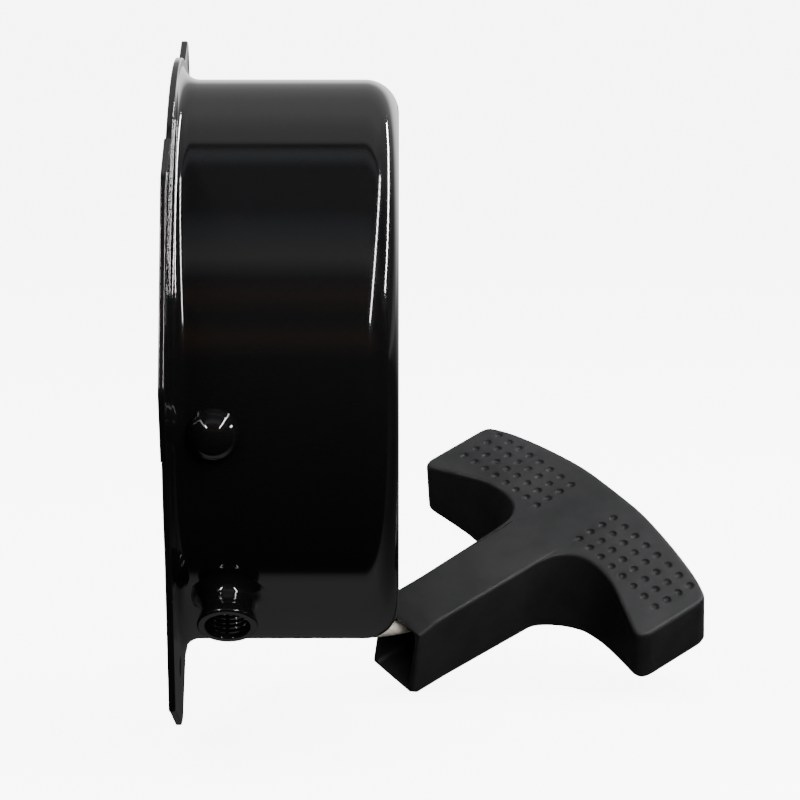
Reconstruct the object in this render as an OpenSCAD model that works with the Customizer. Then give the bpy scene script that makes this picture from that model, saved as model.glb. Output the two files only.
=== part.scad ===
/* [Cup] */
// Outer diameter of the drawn cup
cup_d = 165; // [163:0.5:168]
// Depth of the cup from the flange's seat to the closed end
cup_depth = 65.5; // [65:0.5:68]
// Thickness of the sheet steel
sheet_t = 1.6; // [1.4:0.1:1.8]
// Outer radius of the corner between wall and closed end
corner_r = 10; // [8:0.5:11]
// Radius of the fillet between wall and flange
flange_fillet_r = 5; // [3:0.5:5]

/* [Flange] */
// Thickness of the flange and its lugs
flange_t = 2; // [1.6:0.1:2.5]
// Radius of the flange between the lugs
flange_r = 89; // [88.5:0.5:90]
// Pitch circle diameter of the mounting holes
bolt_pcd = 185; // [184:0.5:186]
// Diameter of each mounting hole
bolt_hole_d = 6.5; // [5.5:0.1:7]

/* [Reel] */
// Rope diameter
rope_d = 4.5; // [4:0.1:4.5]
// Radius of the drum that the rope is wound on
drum_r = 40; // [39:0.1:40]
// Radius of the reel's rims
reel_rim_r = 58; // [56:0.5:60]

/* [Handle] */
// Width of the handle across its two wings
handle_w = 108; // [100:1:112]
// Thickness of the handle
handle_t = 25.8; // [25:0.2:27]
// Diameter of one grip dimple
dimple_d = 2.8; // [2:0.1:3.2]

/* [Hidden] */

fine = 96;
medium = 48;
small = 24;
run_gap = 0.05;

// Cup, as distances along X from the flange's seat and radii about X
cup_r = cup_d / 2;
cup_in_r = cup_r - sheet_t;
end_in_x = cup_depth - sheet_t;
dish_depth = 3;
dish_r = 20;
dish_slope = 4;
vent_count = 10;
vent_in_r = 50;
vent_out_r = 68;
vent_w = 9;

// Lugs, by their angle about X: 0 is towards -Y and 90 is up
bolt_angle = 20.4;
broad_lug_angle = 17;
broad_lug_edge = 99;
broad_lug_half = 34;
broad_lug_base = 92;
flange_blank_r = 125;
long_lug_r = 110;
lug_corner_r = 6;

// Fittings on the side wall
spout_x = 16.9;
spout_angle = -49.6;
spout_bore_r = 6.4;
spout_neck_r = 7.75;
spout_lip_r = 8.75;
spout_lip_t = 3;
spout_end_r = 92.5;
spout_foot_r = 10.5;
dome_x = 14;
dome_angle = -9.3;
dome_r = 7.6;
dome_h = 6;
dome_shank_r = 3;

// Post, reel and clutch along X
post_r = 7;
post_seat_r = 9.5;
post_seat_t = 1.3;
post_rivet_r = 5;
post_head_r = 9;
post_head_t = 2.2;
nose_r = 5;
nose_x0 = 27;
nose_x1 = 31.9;
post_x1 = end_in_x - dish_depth - post_seat_t;
thread_r = 3;
bush_r = 9;
hub_r = 13;
hub_x0 = 32.2;
face_x = 38;
rim_t = 2;
groove_x = 45;
groove_w = 5.5;
floor_x = 46.6;
reel_x1 = 59.2;
cavity_r = 36;
cover_r = 38;
cover_t = 0.8;
wrap_count = 3;
wrap_pitch = 4.4;
wrap_r0 = drum_r + 2.3;
rope_y = wrap_r0 + (wrap_count - 1) * wrap_pitch;

// Pawls
pivot_r = 24;
pawl_x0 = 32.4;
pawl_x1 = 37.7;
pawl_len = 20;
pawl_closed = 96.3;
pawl_swing = 23.5;
guide_turn = 28;
cam_len = 9;
cam_r = 1.8;
cam_gap = 0.5;
guide_x0 = 29;
guide_x1 = 31.2;
guide_r = 34;
pin_r = 2.5;
pin_foot_x = 44;
knot_angle = -20;
knot_r = 33;

// Spiral spring
spring_t = 0.8;
spring_turns = 7;
spring_x0 = 47;
spring_x1 = 58;
spring_r0 = 7.2;
spring_r1 = 33.5;

// Rope outlet, a vertical tube at the back of the cup
outlet_top = -55.5;
outlet_end = -77;
outlet_r = 7;
eyelet_r = 5;
eyelet_hole_r = 2.7;
rope_top = -24;

// Handle: its mouth in the row frame and its turn about Z, Y and its own stem
mouth = [64.5, 62, -96.7];
turn_z = 32.2;
turn_y = -23;
turn_x = 27.9;
stem_half = 9.9;
edge = 1.2;
mouth_lean = 2.2;
mouth_taper = 1.7;
mouth_round = 1.3;
band_v = 9.5;
face_bow = 0.0016;
back_bow = 0.0009;
dimple_v0 = 66.8;
dimple_u0 = 10.4;
dimple_row = 4.8;
dimple_pitch = 5.2;
neck_half_w = 8;
neck_half_h = 10.5;
web_v0 = 27;
web_v1 = 31;
pocket_v1 = 52;
pocket_half = 8.5;
pocket_top = 6;
cap_t = 2;
knot_ball_r = 5;

// Rope from the eyelet to the knot: down out of the outlet, round, and up the handle's neck
lead_route = [[45, rope_y, outlet_end], [45, rope_y, -80.5], [45.7, 51.2, -84], [47.8, 51.7, -87],
              [51.5, 53, -89.2], [56.2, 55.4, -90.2], [61.3, 58.4, -90.2], [67.4, 62.3, -89.8],
              [73.6, 66.6, -89.3], [79.7, 71.4, -88.1], [85.6, 75.5, -85.9], [90.4, 78.6, -83.6]];

// Places children with their local Z along the radius at an angle about X
module on_wall(angle, x) {
    translate([x, 0, 0])
        rotate([-angle, 0, 0])
            rotate([90, 0, 0])
                children();
}

// Turns a half profile of [radius, x] points about the X axis
module turned(profile, sides = fine) {
    rotate([90, 0, 90])
        rotate_extrude($fn = sides)
            polygon(profile);
}

// Ring about X, from x0 to x1
module ring(r_out, r_in, x0, x1, sides = fine) {
    turned([[r_in, x0], [r_out, x0], [r_out, x1], [r_in, x1]], sides);
}

// Plain cylinder along X
module rod(r, x0, x1, sides = small) {
    translate([x0, 0, 0])
        rotate([0, 90, 0])
            cylinder(r = r, h = x1 - x0, $fn = sides);
}

// Extrudes a shape drawn in the Y, Z plane from x0 to x1
module plate(x0, x1) {
    translate([x0, 0, 0])
        rotate([90, 0, 90])
            linear_extrude(x1 - x0)
                children();
}

function arc(cx, cy, r, a0, a1, steps) =
    [for (i = [0:steps]) let (a = a0 + (a1 - a0) * i / steps) [cx + r * cos(a), cy + r * sin(a)]];

// Point at a radius and an angle about X, in the Y, Z plane
function polar(r, a) = [-r * cos(a), r * sin(a)];

// Cup wall, corner, closed end and dished middle as one turned sheet, with an untrimmed flange
module cup_sheet() {
    outer_corner = arc(cup_r - corner_r, cup_depth - corner_r, corner_r, 0, 90, 8);
    inner_corner = arc(cup_r - corner_r, cup_depth - corner_r, corner_r - sheet_t, 90, 0, 8);
    fillet = arc(cup_r + flange_fillet_r, flange_t + flange_fillet_r, flange_fillet_r, 270, 180, 6);
    seat_round = [for (a = [180:15:270])
        [cup_r + flange_fillet_r + (flange_fillet_r + sheet_t) * cos(a),
         (flange_t + flange_fillet_r) * (1 + sin(a))]];
    turned(concat(
        seat_round,
        [[flange_blank_r, 0], [flange_blank_r, flange_t]],
        fillet,
        outer_corner,
        [[dish_r + dish_slope, cup_depth], [dish_r, cup_depth - dish_depth],
         [post_rivet_r, cup_depth - dish_depth], [post_rivet_r, end_in_x - dish_depth],
         [dish_r, end_in_x - dish_depth], [dish_r + dish_slope, end_in_x]],
        inner_corner));
}

// Broad lug with a straight outer edge
module broad_lug(angle) {
    rotate(180 - angle)
        hull() {
            translate([broad_lug_edge - lug_corner_r, broad_lug_half - lug_corner_r])
                circle(lug_corner_r, $fn = small);
            translate([broad_lug_edge - lug_corner_r, lug_corner_r - broad_lug_half])
                circle(lug_corner_r, $fn = small);
            translate([cup_r, 0])
                square([1, broad_lug_base], center = true);
        }
}

// Short rounded ear round one mounting hole
module ear_lug(angle) {
    rotate(180 - angle)
        hull() {
            translate([bolt_pcd / 2, 0])
                circle(bolt_hole_d, $fn = 32);
            translate([cup_r, 0])
                square([1, 44], center = true);
        }
}

// Long lug: a long straight front side, a narrow tip and a short steep back side
module long_lug() {
    polygon([polar(flange_r - 2, -13), polar(long_lug_r + 1.6, -58.5), polar(long_lug_r, -61),
             polar(long_lug_r - 2, -78), polar(long_lug_r - 3.5, -81), polar(flange_r - 2, -91),
             polar(cup_r, -80), polar(cup_r, -50), polar(cup_r, -30)]);
}

module flange_outline() {
    difference() {
        union() {
            circle(flange_r, $fn = fine);
            broad_lug(broad_lug_angle);
            broad_lug(broad_lug_angle + 180);
            ear_lug(bolt_angle + 90);
            long_lug();
        }
        for (i = [0:3])
            rotate(180 - bolt_angle - 90 * i)
                translate([bolt_pcd / 2, 0])
                    circle(d = bolt_hole_d, $fn = small);
    }
}

module vent_slot() {
    translate([end_in_x - 1, 0, 0])
        rotate([90, 0, 90])
            linear_extrude(sheet_t + 2) {
                translate([vent_in_r + vent_w / 2, 0]) circle(d = vent_w, $fn = small);
                translate([vent_out_r - vent_w / 2, 0]) circle(d = vent_w, $fn = small);
                translate([vent_in_r + vent_w / 2, -vent_w / 2])
                    square([vent_out_r - vent_in_r - vent_w, vent_w]);
            }
}

module housing_shell() {
    color([0.02, 0.02, 0.02])
        difference() {
            intersection() {
                cup_sheet();
                plate(-1, cup_depth + 1)
                    flange_outline();
            }
            for (i = [0:vent_count - 1])
                rotate([360 / vent_count * (i + 0.5), 0, 0])
                    vent_slot();
            on_wall(spout_angle, spout_x)
                cylinder(r = spout_bore_r, h = cup_r + 20, $fn = medium);
            on_wall(dome_angle, dome_x)
                cylinder(r = dome_shank_r, h = cup_r + 20, $fn = small);
            translate([groove_x, rope_y, -cup_r])
                cylinder(r = outlet_r, h = 40, $fn = medium);
        }
}

// Short tube with a waisted neck and a thick rolled lip, open through the wall
module side_spout() {
    foot_r = cup_r - 1;
    color([0.02, 0.02, 0.02])
        on_wall(spout_angle, spout_x)
            difference() {
                rotate_extrude($fn = medium)
                    polygon(concat(
                        [[spout_bore_r, foot_r - 2], [spout_foot_r, foot_r - 2],
                         [spout_foot_r, foot_r + 1], [spout_neck_r + 0.8, foot_r + 2.6],
                         [spout_neck_r, foot_r + 4.5], [spout_neck_r, spout_end_r - spout_lip_t - 0.8]],
                        arc(spout_lip_r - 1.2, spout_end_r - 1.8, 1.2, -60, 0, 3),
                        arc(spout_lip_r - 1.2, spout_end_r - 1.2, 1.2, 0, 90, 4),
                        [[spout_bore_r, spout_end_r]]));
                rod(cup_r, -50, 50, fine);
            }
}

// Domed head outside the wall, a shank through it and an upset head inside
module dome_rivet() {
    color([0.02, 0.02, 0.02])
        on_wall(dome_angle, dome_x)
            rotate_extrude($fn = medium)
                polygon(concat(
                    [[0, cup_in_r - 2.2], [dome_shank_r + 2, cup_in_r - 2.2],
                     [dome_shank_r + 2, cup_in_r - 0.6], [dome_shank_r, cup_in_r - 0.6],
                     [dome_shank_r, cup_r], [dome_r, cup_r]],
                    [for (a = [0:9:90]) [dome_r * cos(a), cup_r + dome_h * sin(a)]]));
}

// Vertical outlet tube at the back, cut to the inside of the wall
module rope_spout() {
    color([0.02, 0.02, 0.02])
        difference() {
            translate([groove_x, rope_y, outlet_end])
                cylinder(r = outlet_r, h = outlet_top - outlet_end, $fn = medium);
            translate([groove_x, rope_y, outlet_end - 1])
                cylinder(r = eyelet_r, h = outlet_top - outlet_end + 2, $fn = medium);
        }
}

// Hard liner in the outlet, with a rounded lip at each end
module rope_eyelet() {
    color([0.75, 0.75, 0.72])
        translate([groove_x, rope_y, 0])
            rotate_extrude($fn = medium)
                polygon([[eyelet_hole_r, outlet_end + 0.4], [eyelet_hole_r + 0.6, outlet_end - 0.5],
                         [eyelet_r + 1.2, outlet_end - 1.2], [eyelet_r + 1.2, outlet_end],
                         [eyelet_r, outlet_end], [eyelet_r, outlet_top], [eyelet_r + 1, outlet_top],
                         [eyelet_r + 1, outlet_top + 1], [eyelet_hole_r + 0.8, outlet_top + 1],
                         [eyelet_hole_r, outlet_top]]);
}

// Post riveted through the dished middle of the closed end
module reel_post() {
    head_x = cup_depth - dish_depth;
    color([0.62, 0.62, 0.6])
        difference() {
            union() {
                rod(post_r, nose_x1, post_x1, medium);
                rod(nose_r, nose_x0, nose_x1, medium);
                rod(post_seat_r, post_x1, post_x1 + post_seat_t, medium);
                rod(post_rivet_r, post_x1, head_x + 0.5, medium);
                turned([[0, head_x], [post_head_r, head_x], [post_head_r - 1, head_x + 1.2],
                        [post_head_r - 4, head_x + post_head_t], [0, head_x + post_head_t]], medium);
            }
            rod(thread_r + run_gap, nose_x0 - 1, 46, small);
            translate([spring_x0 - 0.5, -0.7, 0])
                cube([spring_x1 - spring_x0 + 1, 1.4, post_r + 1]);
        }
}

// Reel: hub, web, drum with the rope groove, rims and a spring cavity
module rope_reel() {
    groove_x0 = groove_x - groove_w / 2;
    groove_x1 = groove_x + groove_w / 2;
    color([0.1, 0.1, 0.11])
        difference() {
            turned([[bush_r, hub_x0], [hub_r, hub_x0], [hub_r, face_x], [drum_r, face_x],
                    [drum_r, groove_x0 - rim_t], [reel_rim_r, groove_x0 - rim_t], [reel_rim_r, groove_x0],
                    [drum_r, groove_x0], [drum_r, groove_x1], [reel_rim_r, groove_x1],
                    [reel_rim_r, groove_x1 + rim_t], [drum_r, groove_x1 + rim_t], [drum_r, reel_x1],
                    [cover_r, reel_x1], [cover_r, reel_x1 - cover_t], [cavity_r, reel_x1 - cover_t],
                    [cavity_r, floor_x], [bush_r, floor_x]]);
            for (side = [0, 180])
                rotate([side, 0, 0])
                    translate([0, pivot_r, 0]) {
                        rod(pin_r, face_x - 1, pin_foot_x);
                        rod(pin_r + 2.8, face_x - 1, face_x + 3);
                    }
            rotate([knot_angle, 0, 0]) {
                translate([0, knot_r, 0])
                    rod(4.5, face_x - 1, floor_x - 0.8);
                translate([groove_x - 1.6, knot_r, 0])
                    rotate([-90, 0, 0])
                        cylinder(r = 2.35, h = 10, $fn = small);
            }
        }
}

module reel_bush() {
    color([0.72, 0.55, 0.25])
        ring(bush_r, post_r + run_gap, hub_x0, floor_x, medium);
}

module rope_windings() {
    color([0.9, 0.87, 0.78])
        rotate([90, 0, 90])
            rotate_extrude($fn = fine)
                for (i = [0:wrap_count - 1])
                    translate([wrap_r0 + i * wrap_pitch, groove_x])
                        circle(d = rope_d, $fn = small);
}

module reel_knot() {
    color([0.9, 0.87, 0.78])
        rotate([knot_angle, 0, 0])
            translate([face_x + 4, knot_r, 0])
                sphere(r = 3.8, $fn = small);
}

// Straight rope from the winding's tangent point down to the outlet's end
module rope_run() {
    color([0.9, 0.87, 0.78])
        translate([groove_x, rope_y, outlet_end])
            cylinder(d = rope_d, h = rope_top - outlet_end, $fn = small);
}

// Flat strip wound from the post out to the drum's inner wall, hooked at both ends
module recoil_spring() {
    steps = 18;
    last = spring_turns * steps;
    function coil_r(i) = spring_r0 + spring_t + (spring_r1 - spring_r0) * i / last;
    color([0.3, 0.32, 0.36])
        plate(spring_x0, spring_x1)
            union() {
                polygon(concat(
                    [for (i = [0:last]) coil_r(i) * [cos(90 + i * 360 / steps), sin(90 + i * 360 / steps)]],
                    [for (i = [last:-1:0]) (coil_r(i) - spring_t)
                        * [cos(90 + i * 360 / steps), sin(90 + i * 360 / steps)]]));
                translate([-spring_t / 2, 2.5])
                    square([spring_t, spring_r0 - 1.8]);
            }
}

module spring_cover() {
    color([0.55, 0.55, 0.53])
        ring(cover_r - run_gap, post_r + 3, reel_x1 - cover_t, reel_x1);
}

// One pawl at rest, lying round its pivot with the cam pin towards the guide
module pawl() {
    arm = [cos(pawl_closed), sin(pawl_closed)];
    translate([0, pivot_r, 0])
        difference() {
            union() {
                plate(pawl_x0, pawl_x1)
                    hull() {
                        circle(5.2, $fn = 32);
                        translate(pawl_len * arm + [0.6, 0])
                            circle(1.6, $fn = 32);
                        translate(cam_len * arm + [1.6, 0])
                            circle(3.8, $fn = 32);
                    }
                translate([0, cam_len * arm[0], cam_len * arm[1]])
                    rod(cam_r, guide_x0, pawl_x0 + 1);
            }
            rod(pin_r + run_gap, pawl_x0 - 1, pawl_x1 + 1, medium);
        }
}

module pawl_a() {
    color([0.45, 0.45, 0.43])
        pawl();
}

module pawl_b() {
    color([0.45, 0.45, 0.43])
        rotate([180, 0, 0])
            pawl();
}

// Pivot pin with a thin head in front of the pawl
module pawl_pin() {
    translate([0, pivot_r, 0]) {
        rod(pin_r, pawl_x0 - 0.1, pin_foot_x, medium);
        rod(pin_r + 0.9, pawl_x0 - 0.9, pawl_x0 - 0.1, medium);
    }
}

module pawl_pin_a() {
    color([0.62, 0.62, 0.6])
        pawl_pin();
}

module pawl_pin_b() {
    color([0.62, 0.62, 0.6])
        rotate([180, 0, 0])
            pawl_pin();
}

// Torsion coil in its pocket under the pawl
module pawl_spring() {
    wire_r = 0.4;
    translate([0, pivot_r, 0])
        rotate([90, 0, 90])
            rotate_extrude($fn = small)
                for (i = [0:3])
                    translate([pin_r + 1.4, face_x + 0.5 + i * 0.7])
                        circle(wire_r, $fn = 16);
}

module pawl_spring_a() {
    color([0.4, 0.42, 0.45])
        pawl_spring();
}

module pawl_spring_b() {
    color([0.4, 0.42, 0.45])
        rotate([180, 0, 0])
            pawl_spring();
}

// Centre of the cam pin as the guide sees it, from closed (0) to open (1)
function cam_point(t) =
    let (a = pawl_closed - pawl_swing * t,
         y = pivot_r + cam_len * cos(a),
         z = cam_len * sin(a),
         back = -guide_turn * t)
    [y * cos(back) - z * sin(back), y * sin(back) + z * cos(back)];

function cam_side(t, w) =
    let (d = cam_point(t + 0.01) - cam_point(t - 0.01))
    cam_point(t) + w * [-d[1], d[0]] / norm(d);

module cam_slot() {
    w = cam_r + cam_gap;
    steps = 8;
    polygon(concat(
        [for (i = [0:steps]) cam_side(i / steps, w)],
        [for (i = [steps:-1:0]) cam_side(i / steps, -w)]));
    for (t = [0, 1])
        translate(cam_point(t))
            circle(w, $fn = small);
}

// Guide: a plate with two curved cam slots and a raised boss round its bore
module ratchet_guide() {
    color([0.75, 0.73, 0.65])
        difference() {
            union() {
                plate(guide_x0, guide_x1)
                    circle(guide_r, $fn = fine);
                rod(hub_r - 1, guide_x0 - 0.6, guide_x0 + 0.5, medium);
            }
            rod(nose_r + run_gap, guide_x0 - 2, guide_x1 + 1, medium);
            plate(guide_x0 - 1, guide_x1 + 1) {
                cam_slot();
                rotate(180)
                    cam_slot();
            }
        }
}

module thrust_washer() {
    color([0.62, 0.62, 0.6])
        ring(hub_r - 2.5, nose_r + run_gap, guide_x1 + 0.1, nose_x1, medium);
}

// Dished spring washer between the screw's flange and the guide
module friction_spring() {
    t = 0.5;
    x1 = guide_x0 - 0.6;
    color([0.4, 0.42, 0.45])
        turned([[nose_r + 0.2, nose_x0], [nose_r + 2, nose_x0], [10.4, x1 - t], [10.4, x1],
                [9.4, x1], [nose_r + 1.8, nose_x0 + t], [nose_r + 0.2, nose_x0 + t]], medium);
}

// Hex screw with a flange and a shank in the post
module centre_screw() {
    flange_t0 = 1;
    head_h = 5;
    color([0.7, 0.7, 0.68])
        difference() {
            union() {
                rod(thread_r, nose_x0 - flange_t0, 44, small);
                rod(8.5, nose_x0 - flange_t0, nose_x0, medium);
                translate([nose_x0 - flange_t0 - head_h, 0, 0])
                    rotate([0, 90, 0])
                        cylinder(r = 5.8, h = head_h + 0.2, $fn = 6);
            }
            rod(3.2, nose_x0 - flange_t0 - head_h - 1, nose_x0 - flange_t0 - head_h + 0.8, small);
        }
}

// Places children in the handle's frame: X up the stem, Y across it, Z out of its face
module in_handle() {
    translate(mouth)
        rotate([0, 0, turn_z])
            rotate([0, turn_y, 0])
                rotate([turn_x, 0, 0])
                    children();
}

// The wings of the T, from the stem to a tip: [across, arch in front, arch behind, crown]
function wing() = [
    [stem_half + 0.5, 48, 44, 90.2], [11, 54, 46, 90.2], [12.6, 58, 48.5, 90.1], [15.5, 61, 51.5, 89.9],
    [19.5, 62.6, 54.4, 89.5], [24, 63, 56.4, 88.9], [29, 62.6, 57, 88.2], [34, 61.2, 57, 87.4],
    [39.5, 59, 56.4, 86.4], [45, 56.9, 55.6, 85.2], [handle_w / 2 - 4, 55, 54.8, 83.6],
    [handle_w / 2 - 1.4, 55.4, 55.6, 82.2], [handle_w / 2, 57.6, 58, 79.5]];

function face_w(u) = handle_t / 2 - face_bow * u * u;
function back_w(u) = -handle_t / 2 + back_bow * u * u;

// Section across the handle through a wing, its four long edges cut back
function wing_section(c) = let (t = face_w(c[0]), b = back_w(c[0]))
    [[c[2], b + edge], [c[2] + edge, b], [c[3] - edge, b], [c[3], b + edge],
     [c[3], t - edge], [c[3] - edge, t], [c[1] + edge, t], [c[1], t - edge]];

// The same section through the stem, tapered in at its leaning mouth
function stem_section(u, setback) = let (t = face_w(u), b = back_w(u), c = wing()[0][3])
    [[setback - mouth_lean, b + mouth_taper], [setback, b], [c - edge, b], [c, b + edge],
     [c, t - edge], [c - edge, t], [band_v, t], [setback + mouth_lean, t - mouth_taper]];

// Four rows of eight shallow dimples on one wing
module dimple_patch(side) {
    for (row = [0:3], col = [0:7])
        let (u = dimple_u0 + col * dimple_pitch)
            translate([dimple_v0 + row * dimple_row, side * u, face_w(u)])
            cylinder(d = dimple_d, h = 1, center = true, $fn = 12);
}

// Solid T: sections from tip to tip, joined by flat triangles
module handle_body() {
    flat = stem_half - mouth_round;
    half = concat([[0, stem_section(0, 0)], [flat, stem_section(flat, 0)],
                   [stem_half, stem_section(stem_half, mouth_round)]],
                  [for (c = wing()) [c[0], wing_section(c)]]);
    n = len(half);
    rows = concat([for (i = [n - 1:-1:1]) [-half[i][0], half[i][1]]], half);
    sides = len(rows[0][1]);
    count = len(rows);
    points = [for (r = rows, p = r[1]) [p[0], r[0], p[1]]];
    walls = [for (i = [0:count - 2], j = [0:sides - 1])
        let (k = (j + 1) % sides, a = i * sides + j, b = i * sides + k, c = b + sides, d = a + sides)
            each [[a, b, c], [a, c, d]]];
    first = [for (j = [sides - 1:-1:0]) j];
    last = [for (j = [0:sides - 1]) (count - 1) * sides + j];
    polyhedron(points, concat(walls, [first, last]));
}

// Moulded T-handle: open neck, a web that the rope passes, and a pocket for the knot
module handle_grip() {
    color([0.035, 0.035, 0.035])
        in_handle()
            difference() {
                handle_body();
                translate([-1, -neck_half_w, -neck_half_h])
                    cube([web_v0 + 1, 2 * neck_half_w, 2 * neck_half_h]);
                rotate([0, 90, 0])
                    cylinder(r = 2.8, h = web_v1 + 2, $fn = small);
                translate([web_v1, -pocket_half, -handle_t])
                    cube([pocket_v1 - web_v1, 2 * pocket_half, handle_t + pocket_top]);
                for (side = [-1, 1])
                    dimple_patch(side);
            }
}

module knot_retainer() {
    color([0.62, 0.62, 0.6])
        in_handle()
            difference() {
                translate([web_v1, -pocket_half + 0.3, -8])
                    cube([1.2, 2 * pocket_half - 0.6, 13.5]);
                translate([web_v1 - 1, 0, 0])
                    rotate([0, 90, 0])
                        cylinder(r = 2.6, h = 4, $fn = small);
            }
}

module handle_knot() {
    color([0.9, 0.87, 0.78])
        in_handle()
            translate([web_v1 + 1.3 + knot_ball_r, 0, 0])
                sphere(r = knot_ball_r, $fn = small);
}

module handle_cap() {
    color([0.05, 0.05, 0.05])
        in_handle()
            translate([web_v1 + 0.1, -pocket_half + 0.1, -handle_t / 2])
                cube([pocket_v1 - web_v1 - 0.2, 2 * pocket_half - 0.2, cap_t]);
}

// Tube of a few sides swept along a list of points
module swept(route, r, sides = 12) {
    n = len(route);
    function way(i) = route[min(i + 1, n - 1)] - route[max(i - 1, 0)];
    function unit(v) = v / norm(v);
    function across(i) = unit(cross(unit(way(i)), [0.55, -0.84, 0.02]));
    points = [for (i = [0:n - 1]) let (a = across(i), b = cross(unit(way(i)), a))
        for (j = [0:sides - 1]) route[i] + r * (cos(j * 360 / sides) * a + sin(j * 360 / sides) * b)];
    walls = [for (i = [0:n - 2], j = [0:sides - 1]) let (k = (j + 1) % sides)
        [i * sides + j, (i + 1) * sides + j, (i + 1) * sides + k, i * sides + k]];
    first = [for (j = [0:sides - 1]) j];
    last = [for (j = [sides - 1:-1:0]) (n - 1) * sides + j];
    polyhedron(points, concat(walls, [first, last]));
}

module rope_lead() {
    color([0.9, 0.87, 0.78])
        swept(lead_route, rope_d / 2 - 0.05);
}

housing_shell();
side_spout();
dome_rivet();
rope_spout();
rope_eyelet();
reel_post();
rope_reel();
reel_bush();
rope_windings();
reel_knot();
rope_run();
recoil_spring();
spring_cover();
pawl_a();
pawl_b();
pawl_pin_a();
pawl_pin_b();
pawl_spring_a();
pawl_spring_b();
ratchet_guide();
thrust_washer();
friction_spring();
centre_screw();
handle_grip();
knot_retainer();
handle_knot();
handle_cap();
rope_lead();
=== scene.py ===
import math

import bmesh
import bpy
from mathutils import Matrix, Vector


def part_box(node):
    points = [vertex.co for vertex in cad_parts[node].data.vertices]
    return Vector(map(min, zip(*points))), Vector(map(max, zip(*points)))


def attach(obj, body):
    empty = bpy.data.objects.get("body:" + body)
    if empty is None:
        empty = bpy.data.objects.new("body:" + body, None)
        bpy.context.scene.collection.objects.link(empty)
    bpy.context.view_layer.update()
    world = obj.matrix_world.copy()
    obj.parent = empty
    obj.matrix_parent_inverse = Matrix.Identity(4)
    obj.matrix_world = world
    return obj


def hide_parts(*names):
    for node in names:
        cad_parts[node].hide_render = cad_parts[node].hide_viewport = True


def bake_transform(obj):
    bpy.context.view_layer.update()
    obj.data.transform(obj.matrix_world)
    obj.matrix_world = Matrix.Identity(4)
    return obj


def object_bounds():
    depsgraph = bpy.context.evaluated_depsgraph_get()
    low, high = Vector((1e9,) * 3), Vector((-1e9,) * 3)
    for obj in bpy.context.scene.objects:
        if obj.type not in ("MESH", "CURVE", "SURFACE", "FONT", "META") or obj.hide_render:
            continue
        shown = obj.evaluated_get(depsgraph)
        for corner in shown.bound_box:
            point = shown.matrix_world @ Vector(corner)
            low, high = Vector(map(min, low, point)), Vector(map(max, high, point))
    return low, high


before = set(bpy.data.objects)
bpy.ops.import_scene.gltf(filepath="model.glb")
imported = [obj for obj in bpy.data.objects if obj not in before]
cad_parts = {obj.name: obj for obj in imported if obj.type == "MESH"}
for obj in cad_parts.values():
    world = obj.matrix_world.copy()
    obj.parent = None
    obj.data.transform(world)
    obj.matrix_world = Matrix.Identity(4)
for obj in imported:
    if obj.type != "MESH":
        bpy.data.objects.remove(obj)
CAD_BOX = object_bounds()

MM = 0.001
TAU = 2 * math.pi

# Sizes that the CAD part states, in millimetres
CUP_R = 82.5
SHEET = 1.6
CORNER_R = 10.0
FILLET_R = 5.0
FLANGE_T = 2.0
FLANGE_R = 89.0
BOLT_CIRCLE_R = 92.5
BOLT_HOLE_R = 3.25
BOLT_ANGLE = 20.4
DISH_R = 20.0
DISH_SLOPE = 4.0
DISH_DEPTH = 3.0
POST_HOLE_R = 5.0
SPOUT_X = 16.9
SPOUT_ANGLE = -49.6
SPOUT_BORE_R = 6.4
SPOUT_END_R = 92.5
DOME_X = 14.0
DOME_ANGLE = -9.3
OUTLET_HOLE_R = 7.0
PAWL_PIVOT_R = 24.0
ROPE_R = 2.2
HANDLE_W = 108.0
HANDLE_T = 25.8

CUP_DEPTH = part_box("housing_shell")[1][0] / MM
FLOOR_Z = CAD_BOX[0][2]


# ---------------------------------------------------------------- small helpers

def link(obj):
    """Puts an object in the scene."""
    bpy.context.scene.collection.objects.link(obj)
    return obj


def place(obj, body, node):
    """Says which body a piece rides on and hides the CAD node it stands for."""
    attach(obj, body)
    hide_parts(node)


def mesh_object(name, verts, faces, material, smooth_angle=35):
    """A mesh object from points in millimetres, smooth except at sharp edges."""
    mesh = bpy.data.meshes.new(name)
    mesh.from_pydata([Vector(v) * MM for v in verts], [], faces)
    mesh.validate()
    finish_mesh(mesh, smooth_angle)
    mesh.materials.append(material)
    return link(bpy.data.objects.new(name, mesh))


def finish_mesh(mesh, smooth_angle):
    """Merges doubled points, turns the normals outwards and marks the sharp edges."""
    bm = bmesh.new()
    bm.from_mesh(mesh)
    bmesh.ops.remove_doubles(bm, verts=bm.verts, dist=1e-7)
    bmesh.ops.recalc_face_normals(bm, faces=bm.faces)
    bm.to_mesh(mesh)
    bm.free()
    mesh.polygons.foreach_set("use_smooth", [True] * len(mesh.polygons))
    mesh.set_sharp_from_angle(angle=math.radians(smooth_angle))


def apply_modifiers(obj, smooth_angle=35):
    """Replaces the object's mesh by its evaluated one."""
    graph = bpy.context.evaluated_depsgraph_get()
    mesh = bpy.data.meshes.new_from_object(obj.evaluated_get(graph))
    obj.modifiers.clear()
    obj.data = mesh
    finish_mesh(mesh, smooth_angle)
    return obj


def cut(obj, cutter, smooth_angle=35):
    """Takes the cutter's volume out of obj and deletes the cutter."""
    mod = obj.modifiers.new("cut", "BOOLEAN")
    mod.operation = "DIFFERENCE"
    mod.solver = "EXACT"
    mod.use_self = True
    mod.object = cutter
    apply_modifiers(obj, smooth_angle)
    bpy.data.objects.remove(cutter)
    return obj


def bevel(obj, width, segments=3, angle=40):
    """Rounds the sharp edges by a width in millimetres."""
    mod = obj.modifiers.new("edge", "BEVEL")
    mod.width = width * MM
    mod.segments = segments
    mod.limit_method = "ANGLE"
    mod.angle_limit = math.radians(angle)
    mod.harden_normals = False
    return obj


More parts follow.
